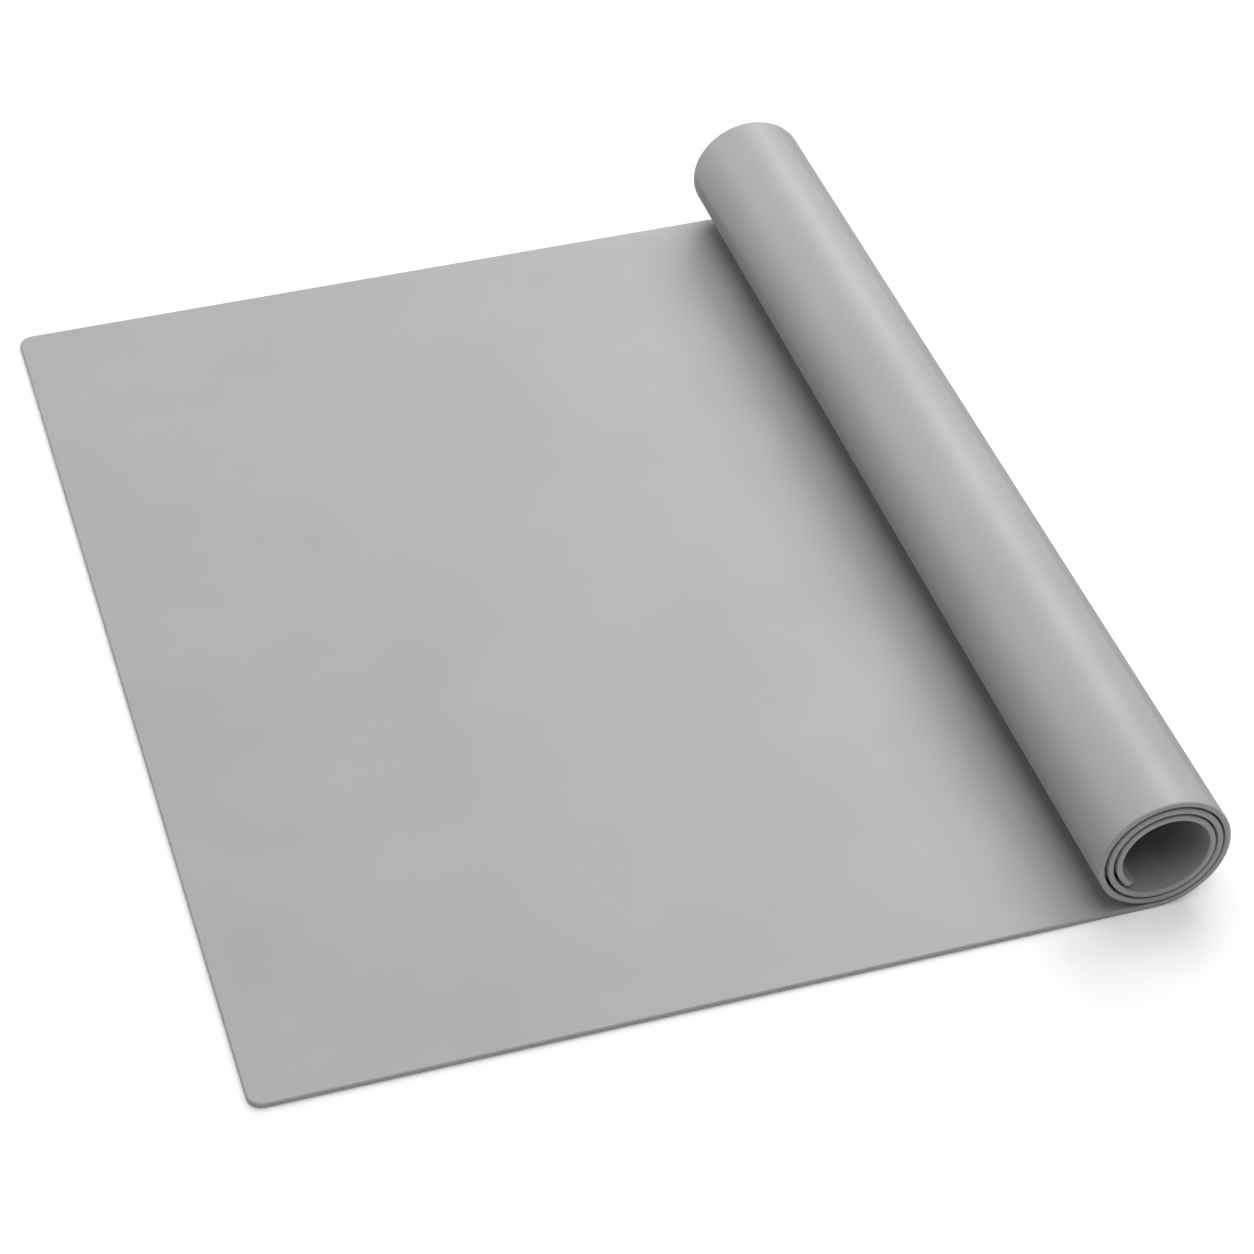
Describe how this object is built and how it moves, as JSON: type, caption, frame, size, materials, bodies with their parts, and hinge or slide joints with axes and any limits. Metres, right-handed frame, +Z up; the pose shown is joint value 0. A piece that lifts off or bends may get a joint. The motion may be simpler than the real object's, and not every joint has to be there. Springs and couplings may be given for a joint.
{
  "type": "silicone counter mat",
  "caption": "Plain rectangular silicone counter mat, lying flat with one end rolled up; it protects a worktop and unrolls flat.",
  "frame": {"origin": "on the worktop, under the middle of the mat as it lies part rolled", "axes": "+Z up, +Y across the sheet along the roll, from the front edge to the back edge, +X along the sheet from its flat end towards the roll"},
  "size_m": [0.3078, 0.4, 0.0432],
  "materials": {
    "silicone": "matte"
  },
  "bodies": {
    "flat_field": {"flat_field": "silicone"},
    "outer_turn_01": {"outer_turn_01": "silicone"},
    "outer_turn_02": {"outer_turn_02": "silicone"},
    "outer_turn_03": {"outer_turn_03": "silicone"},
    "outer_turn_04": {"outer_turn_04": "silicone"},
    "outer_turn_05": {"outer_turn_05": "silicone"},
    "outer_turn_06": {"outer_turn_06": "silicone"},
    "outer_turn_07": {"outer_turn_07": "silicone"},
    "outer_turn_08": {"outer_turn_08": "silicone"},
    "outer_turn_09": {"outer_turn_09": "silicone"},
    "outer_turn_10": {"outer_turn_10": "silicone"},
    "outer_turn_11": {"outer_turn_11": "silicone"},
    "outer_turn_12": {"outer_turn_12": "silicone"},
    "middle_turn_01": {"middle_turn_01": "silicone"},
    "middle_turn_02": {"middle_turn_02": "silicone"},
    "middle_turn_03": {"middle_turn_03": "silicone"},
    "middle_turn_04": {"middle_turn_04": "silicone"},
    "middle_turn_05": {"middle_turn_05": "silicone"},
    "middle_turn_06": {"middle_turn_06": "silicone"},
    "middle_turn_07": {"middle_turn_07": "silicone"},
    "middle_turn_08": {"middle_turn_08": "silicone"},
    "middle_turn_09": {"middle_turn_09": "silicone"},
    "middle_turn_10": {"middle_turn_10": "silicone"},
    "middle_turn_11": {"middle_turn_11": "silicone"},
    "middle_turn_12": {"middle_turn_12": "silicone"},
    "inner_turn_01": {"inner_turn_01": "silicone"},
    "inner_turn_02": {"inner_turn_02": "silicone"},
    "inner_turn_03": {"inner_turn_03": "silicone"},
    "inner_turn_04": {"inner_turn_04": "silicone"},
    "inner_turn_05": {"inner_turn_05": "silicone"},
    "inner_turn_06": {"inner_turn_06": "silicone"},
    "inner_turn_07": {"inner_turn_07": "silicone"},
    "inner_turn_08": {"inner_turn_08": "silicone"},
    "inner_turn_09": {"inner_turn_09": "silicone"},
    "inner_turn_10": {"inner_turn_10": "silicone"},
    "inner_turn_11": {"inner_turn_11": "silicone"}
  },
  "joints": [
    {"name": "unroll", "type": "hinge", "parent": "flat_field", "child": "outer_turn_01", "pos_m": [0.13044, 0, 0.001], "axis": [0, 1, 0], "range_deg": [0, 15]},
    {"name": "unroll_outer_turn_02", "type": "hinge", "parent": "outer_turn_01", "child": "outer_turn_02", "pos_m": [0.14204, 0, 0.00411], "axis": [0, 1, 0], "range_deg": [0, 30]},
    {"name": "unroll_outer_turn_03", "type": "hinge", "parent": "outer_turn_02", "child": "outer_turn_03", "pos_m": [0.15016, 0, 0.01223], "axis": [0, 1, 0], "range_deg": [0, 30]},
    {"name": "unroll_outer_turn_04", "type": "hinge", "parent": "outer_turn_03", "child": "outer_turn_04", "pos_m": [0.1529, 0, 0.02243], "axis": [0, 1, 0], "range_deg": [0, 30]},
    {"name": "unroll_outer_turn_05", "type": "hinge", "parent": "outer_turn_04", "child": "outer_turn_05", "pos_m": [0.1503, 0, 0.03213], "axis": [0, 1, 0], "range_deg": [0, 30]},
    {"name": "unroll_outer_turn_06", "type": "hinge", "parent": "outer_turn_05", "child": "outer_turn_06", "pos_m": [0.14302, 0, 0.03941], "axis": [0, 1, 0], "range_deg": [0, 30]},
    {"name": "unroll_outer_turn_07", "type": "hinge", "parent": "outer_turn_06", "child": "outer_turn_07", "pos_m": [0.13243, 0, 0.04224], "axis": [0, 1, 0], "range_deg": [0, 30]},
    {"name": "unroll_outer_turn_08", "type": "hinge", "parent": "outer_turn_07", "child": "outer_turn_08", "pos_m": [0.12158, 0, 0.03933], "axis": [0, 1, 0], "range_deg": [0, 30]},
    {"name": "unroll_outer_turn_09", "type": "hinge", "parent": "outer_turn_08", "child": "outer_turn_09", "pos_m": [0.11397, 0, 0.03173], "axis": [0, 1, 0], "range_deg": [0, 30]},
    {"name": "unroll_outer_turn_10", "type": "hinge", "parent": "outer_turn_09", "child": "outer_turn_10", "pos_m": [0.11141, 0, 0.02218], "axis": [0, 1, 0], "range_deg": [0, 30]},
    {"name": "unroll_outer_turn_11", "type": "hinge", "parent": "outer_turn_10", "child": "outer_turn_11", "pos_m": [0.11385, 0, 0.01309], "axis": [0, 1, 0], "range_deg": [0, 30]},
    {"name": "unroll_outer_turn_12", "type": "hinge", "parent": "outer_turn_11", "child": "outer_turn_12", "pos_m": [0.1207, 0, 0.00624], "axis": [0, 1, 0], "range_deg": [0, 30]},
    {"name": "unroll_middle_turn_01", "type": "hinge", "parent": "outer_turn_12", "child": "middle_turn_01", "pos_m": [0.13069, 0, 0.00357], "axis": [0, 1, 0], "range_deg": [0, 30]},
    {"name": "unroll_middle_turn_02", "type": "hinge", "parent": "middle_turn_01", "child": "middle_turn_02", "pos_m": [0.14094, 0, 0.00631], "axis": [0, 1, 0], "range_deg": [0, 30]},
    {"name": "unroll_middle_turn_03", "type": "hinge", "parent": "middle_turn_02", "child": "middle_turn_03", "pos_m": [0.14807, 0, 0.01344], "axis": [0, 1, 0], "range_deg": [0, 30]},
    {"name": "unroll_middle_turn_04", "type": "hinge", "parent": "middle_turn_03", "child": "middle_turn_04", "pos_m": [0.15044, 0, 0.02229], "axis": [0, 1, 0], "range_deg": [0, 30]},
    {"name": "unroll_middle_turn_05", "type": "hinge", "parent": "middle_turn_04", "child": "middle_turn_05", "pos_m": [0.1482, 0, 0.03063], "axis": [0, 1, 0], "range_deg": [0, 30]},
    {"name": "unroll_middle_turn_06", "type": "hinge", "parent": "middle_turn_05", "child": "middle_turn_06", "pos_m": [0.14191, 0, 0.03692], "axis": [0, 1, 0], "range_deg": [0, 30]},
    {"name": "unroll_middle_turn_07", "type": "hinge", "parent": "middle_turn_06", "child": "middle_turn_07", "pos_m": [0.13269, 0, 0.03939], "axis": [0, 1, 0], "range_deg": [0, 30]},
    {"name": "unroll_middle_turn_08", "type": "hinge", "parent": "middle_turn_07", "child": "middle_turn_08", "pos_m": [0.12318, 0, 0.03684], "axis": [0, 1, 0], "range_deg": [0, 30]},
    {"name": "unroll_middle_turn_09", "type": "hinge", "parent": "middle_turn_08", "child": "middle_turn_09", "pos_m": [0.11657, 0, 0.03023], "axis": [0, 1, 0], "range_deg": [0, 30]},
    {"name": "unroll_middle_turn_10", "type": "hinge", "parent": "middle_turn_09", "child": "middle_turn_10", "pos_m": [0.11437, 0, 0.02203], "axis": [0, 1, 0], "range_deg": [0, 30]},
    {"name": "unroll_middle_turn_11", "type": "hinge", "parent": "middle_turn_10", "child": "middle_turn_11", "pos_m": [0.11645, 0, 0.0143], "axis": [0, 1, 0], "range_deg": [0, 30]},
    {"name": "unroll_middle_turn_12", "type": "hinge", "parent": "middle_turn_11", "child": "middle_turn_12", "pos_m": [0.1223, 0, 0.00845], "axis": [0, 1, 0], "range_deg": [0, 30]},
    {"name": "unroll_inner_turn_01", "type": "hinge", "parent": "middle_turn_12", "child": "inner_turn_01", "pos_m": [0.13094, 0, 0.00613], "axis": [0, 1, 0], "range_deg": [0, 30]},
    {"name": "unroll_inner_turn_02", "type": "hinge", "parent": "inner_turn_01", "child": "inner_turn_02", "pos_m": [0.13983, 0, 0.00851], "axis": [0, 1, 0], "range_deg": [0, 30]},
    {"name": "unroll_inner_turn_03", "type": "hinge", "parent": "inner_turn_02", "child": "inner_turn_03", "pos_m": [0.14597, 0, 0.01465], "axis": [0, 1, 0], "range_deg": [0, 30]},
    {"name": "unroll_inner_turn_04", "type": "hinge", "parent": "inner_turn_03", "child": "inner_turn_04", "pos_m": [0.14798, 0, 0.02214], "axis": [0, 1, 0], "range_deg": [0, 30]},
    {"name": "unroll_inner_turn_05", "type": "hinge", "parent": "inner_turn_04", "child": "inner_turn_05", "pos_m": [0.14611, 0, 0.02913], "axis": [0, 1, 0], "range_deg": [0, 30]},
    {"name": "unroll_inner_turn_06", "type": "hinge", "parent": "inner_turn_05", "child": "inner_turn_06", "pos_m": [0.14081, 0, 0.03442], "axis": [0, 1, 0], "range_deg": [0, 30]},
    {"name": "unroll_inner_turn_07", "type": "hinge", "parent": "inner_turn_06", "child": "inner_turn_07", "pos_m": [0.13294, 0, 0.03653], "axis": [0, 1, 0], "range_deg": [0, 30]},
    {"name": "unroll_inner_turn_08", "type": "hinge", "parent": "inner_turn_07", "child": "inner_turn_08", "pos_m": [0.12479, 0, 0.03435], "axis": [0, 1, 0], "range_deg": [0, 30]},
    {"name": "unroll_inner_turn_09", "type": "hinge", "parent": "inner_turn_08", "child": "inner_turn_09", "pos_m": [0.11917, 0, 0.02873], "axis": [0, 1, 0], "range_deg": [0, 30]},
    {"name": "unroll_inner_turn_10", "type": "hinge", "parent": "inner_turn_09", "child": "inner_turn_10", "pos_m": [0.11734, 0, 0.02189], "axis": [0, 1, 0], "range_deg": [0, 30]},
    {"name": "unroll_inner_turn_11", "type": "hinge", "parent": "inner_turn_10", "child": "inner_turn_11", "pos_m": [0.11904, 0, 0.01551], "axis": [0, 1, 0], "range_deg": [0, 30]}
  ],
  "couplings": [
    {"joint": "unroll_outer_turn_02", "follows": "unroll", "ratio": 2},
    {"joint": "unroll_outer_turn_03", "follows": "unroll", "ratio": 2},
    {"joint": "unroll_outer_turn_04", "follows": "unroll", "ratio": 2},
    {"joint": "unroll_outer_turn_05", "follows": "unroll", "ratio": 2},
    {"joint": "unroll_outer_turn_06", "follows": "unroll", "ratio": 2},
    {"joint": "unroll_outer_turn_07", "follows": "unroll", "ratio": 2},
    {"joint": "unroll_outer_turn_08", "follows": "unroll", "ratio": 2},
    {"joint": "unroll_outer_turn_09", "follows": "unroll", "ratio": 2},
    {"joint": "unroll_outer_turn_10", "follows": "unroll", "ratio": 2},
    {"joint": "unroll_outer_turn_11", "follows": "unroll", "ratio": 2},
    {"joint": "unroll_outer_turn_12", "follows": "unroll", "ratio": 2},
    {"joint": "unroll_middle_turn_01", "follows": "unroll", "ratio": 2},
    {"joint": "unroll_middle_turn_02", "follows": "unroll", "ratio": 2},
    {"joint": "unroll_middle_turn_03", "follows": "unroll", "ratio": 2},
    {"joint": "unroll_middle_turn_04", "follows": "unroll", "ratio": 2},
    {"joint": "unroll_middle_turn_05", "follows": "unroll", "ratio": 2},
    {"joint": "unroll_middle_turn_06", "follows": "unroll", "ratio": 2},
    {"joint": "unroll_middle_turn_07", "follows": "unroll", "ratio": 2},
    {"joint": "unroll_middle_turn_08", "follows": "unroll", "ratio": 2},
    {"joint": "unroll_middle_turn_09", "follows": "unroll", "ratio": 2},
    {"joint": "unroll_middle_turn_10", "follows": "unroll", "ratio": 2},
    {"joint": "unroll_middle_turn_11", "follows": "unroll", "ratio": 2},
    {"joint": "unroll_middle_turn_12", "follows": "unroll", "ratio": 2},
    {"joint": "unroll_inner_turn_01", "follows": "unroll", "ratio": 2},
    {"joint": "unroll_inner_turn_02", "follows": "unroll", "ratio": 2},
    {"joint": "unroll_inner_turn_03", "follows": "unroll", "ratio": 2},
    {"joint": "unroll_inner_turn_04", "follows": "unroll", "ratio": 2},
    {"joint": "unroll_inner_turn_05", "follows": "unroll", "ratio": 2},
    {"joint": "unroll_inner_turn_06", "follows": "unroll", "ratio": 2},
    {"joint": "unroll_inner_turn_07", "follows": "unroll", "ratio": 2},
    {"joint": "unroll_inner_turn_08", "follows": "unroll", "ratio": 2},
    {"joint": "unroll_inner_turn_09", "follows": "unroll", "ratio": 2},
    {"joint": "unroll_inner_turn_10", "follows": "unroll", "ratio": 2},
    {"joint": "unroll_inner_turn_11", "follows": "unroll", "ratio": 2}
  ]
}
